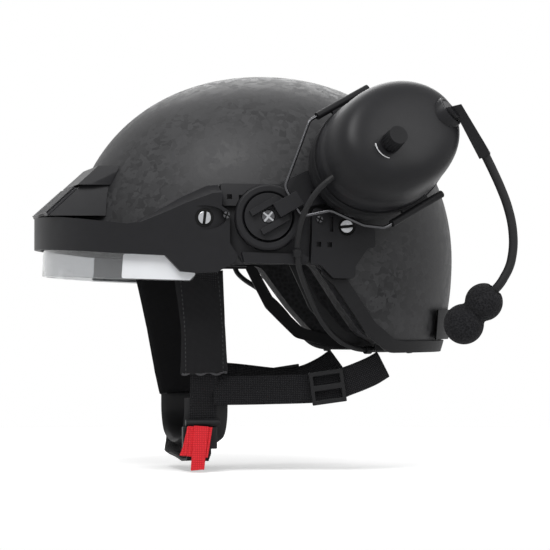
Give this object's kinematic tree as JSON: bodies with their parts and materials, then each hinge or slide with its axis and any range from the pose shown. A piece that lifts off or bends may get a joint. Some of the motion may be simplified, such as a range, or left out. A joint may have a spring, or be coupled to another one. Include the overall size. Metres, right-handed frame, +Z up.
{
  "type": "half helmet",
  "caption": "Half helmet with louvred peak, drop-down clear visor, side rails, swivelling ear cups with boom microphone and chin harness.",
  "frame": {"origin": "where the crown pad rests on the top of the head, on the middle plane", "axes": "+X to the rear, -Y to the wearer's left, +Z up"},
  "size_m": [0.3286, 0.3573, 0.2896],
  "materials": {
    "shell": "matte moulded composite with pressed fibre chips",
    "black_plastic": "satin moulded plastic with a fine grain",
    "foam": "beaded expanded foam",
    "pad_fabric": "knitted lining fabric",
    "leather": "soft smooth artificial leather",
    "webbing": "woven strap webbing",
    "lens": "clear polished lens",
    "white_plastic": "smooth white plastic",
    "red_fabric": "coated red webbing tab",
    "steel": "bright steel",
    "rubber": "soft rubber cover",
    "muff_foam": "open-cell foam windscreen"
  },
  "bodies": {
    "helmet": {"helmet_shell": "shell", "edge_trim": "black_plastic", "foam_liner": "foam", "crown_pad": "pad_fabric", "comfort_pads": "pad_fabric", "fit_band": "black_plastic", "peak_housing": "black_plastic", "vent_fairing": "black_plastic", "louvre_panel": "black_plastic", "fairing_cap": "black_plastic", "rail_bolts": "steel", "rail_screws": "steel", "left_rail": "black_plastic", "left_rail_panel": "black_plastic", "left_swivel_base": "black_plastic", "left_lead_link": "rubber", "left_strap_cover": "pad_fabric", "left_rear_strap": "webbing", "left_front_strap": "webbing", "right_rail": "black_plastic", "right_rail_panel": "black_plastic", "right_swivel_base": "black_plastic", "right_lead_link": "rubber", "right_strap_cover": "pad_fabric", "right_rear_strap": "webbing", "right_front_strap": "webbing", "headset_lead": "rubber", "lead_clips": "black_plastic", "nape_bracket": "black_plastic", "strap_sliders": "black_plastic", "strap_anchors": "black_plastic", "chin_pad": "rubber", "buckle_receiver": "black_plastic", "buckle_tongue": "black_plastic"},
    "visor": {"visor_lens": "lens", "visor_side_plates": "white_plastic"},
    "left_swivel": {"left_swivel_rotor": "black_plastic", "left_swivel_screw": "steel", "left_arm_block": "black_plastic"},
    "left_arm": {"left_wire_fork": "steel"},
    "left_cup": {"left_cup_shell": "black_plastic", "left_cup_plate": "black_plastic", "left_ear_cushion": "leather", "left_speaker": "black_plastic"},
    "right_swivel": {"right_swivel_rotor": "black_plastic", "right_swivel_screw": "steel", "right_arm_block": "black_plastic"},
    "right_arm": {"right_wire_fork": "steel"},
    "right_cup": {"right_cup_shell": "black_plastic", "right_cup_plate": "black_plastic", "right_ear_cushion": "leather", "right_speaker": "black_plastic"},
    "volume": {"volume_knob": "black_plastic"},
    "boom": {"boom_block": "black_plastic", "boom_arm": "rubber", "mic_body": "black_plastic", "mic_muff": "muff_foam"},
    "fit_dial": {"fit_dial": "black_plastic"},
    "lever": {"release_lever": "black_plastic", "pull_tab": "red_fabric"}
  },
  "joints": [
    {"name": "visor_drop", "type": "hinge", "parent": "helmet", "child": "visor", "pos_m": [-0.04636, 0, -0.07119], "axis": [0, -1, 0], "range_deg": [0, 10]},
    {"name": "left_arm_swivel", "type": "hinge", "parent": "helmet", "child": "left_swivel", "pos_m": [-0.00084, -0.11122, -0.0716], "axis": [0.1228, 0.9848, -0.1228], "range_deg": [0, 100], "deforming": ["left_lead_link"]},
    {"name": "left_arm_flare", "type": "hinge", "parent": "left_swivel", "child": "left_arm", "pos_m": [0.01485, -0.12585, -0.06007], "axis": [0.478, -0.1671, -0.8623], "range_deg": [0, 20], "deforming": ["left_lead_link"]},
    {"name": "left_cup_slide", "type": "slide", "parent": "left_arm", "child": "left_cup", "axis": [0.8217, 0.3598, 0.442], "range_m": [0, 0.015], "deforming": ["left_lead_link"]},
    {"name": "right_arm_swivel", "type": "hinge", "parent": "helmet", "child": "right_swivel", "pos_m": [-0.00084, 0.11122, -0.0716], "axis": [-0.1228, 0.9848, 0.1228], "range_deg": [0, 100], "deforming": ["right_lead_link"]},
    {"name": "right_arm_flare", "type": "hinge", "parent": "right_swivel", "child": "right_arm", "pos_m": [0.01485, 0.12585, -0.06007], "axis": [-0.478, -0.1671, 0.8623], "range_deg": [0, 20], "deforming": ["right_lead_link"]},
    {"name": "right_cup_slide", "type": "slide", "parent": "right_arm", "child": "right_cup", "axis": [0.8217, -0.3598, 0.442], "range_m": [0, 0.015], "deforming": ["right_lead_link"]},
    {"name": "volume_turn", "type": "hinge", "parent": "left_cup", "child": "volume", "pos_m": [0.07479, -0.16811, -0.0207], "axis": [0.2008, -0.9085, 0.3664], "range_deg": [-135, 135]},
    {"name": "boom_swing", "type": "hinge", "parent": "left_cup", "child": "boom", "pos_m": [0.12229, -0.14433, 0.00285], "axis": [0.6685, -0.4873, 0.5619], "range_deg": [-135, 15]},
    {"name": "fit_dial_turn", "type": "hinge", "parent": "helmet", "child": "fit_dial", "pos_m": [0.12677, 0, -0.146], "axis": [1, 0, 0], "continuous": true},
    {"name": "release_lever_lift", "type": "hinge", "parent": "helmet", "child": "lever", "pos_m": [-0.0386, -0.0612, -0.2176], "axis": [-1, 0, 0], "range_deg": [0, 60]}
  ]
}
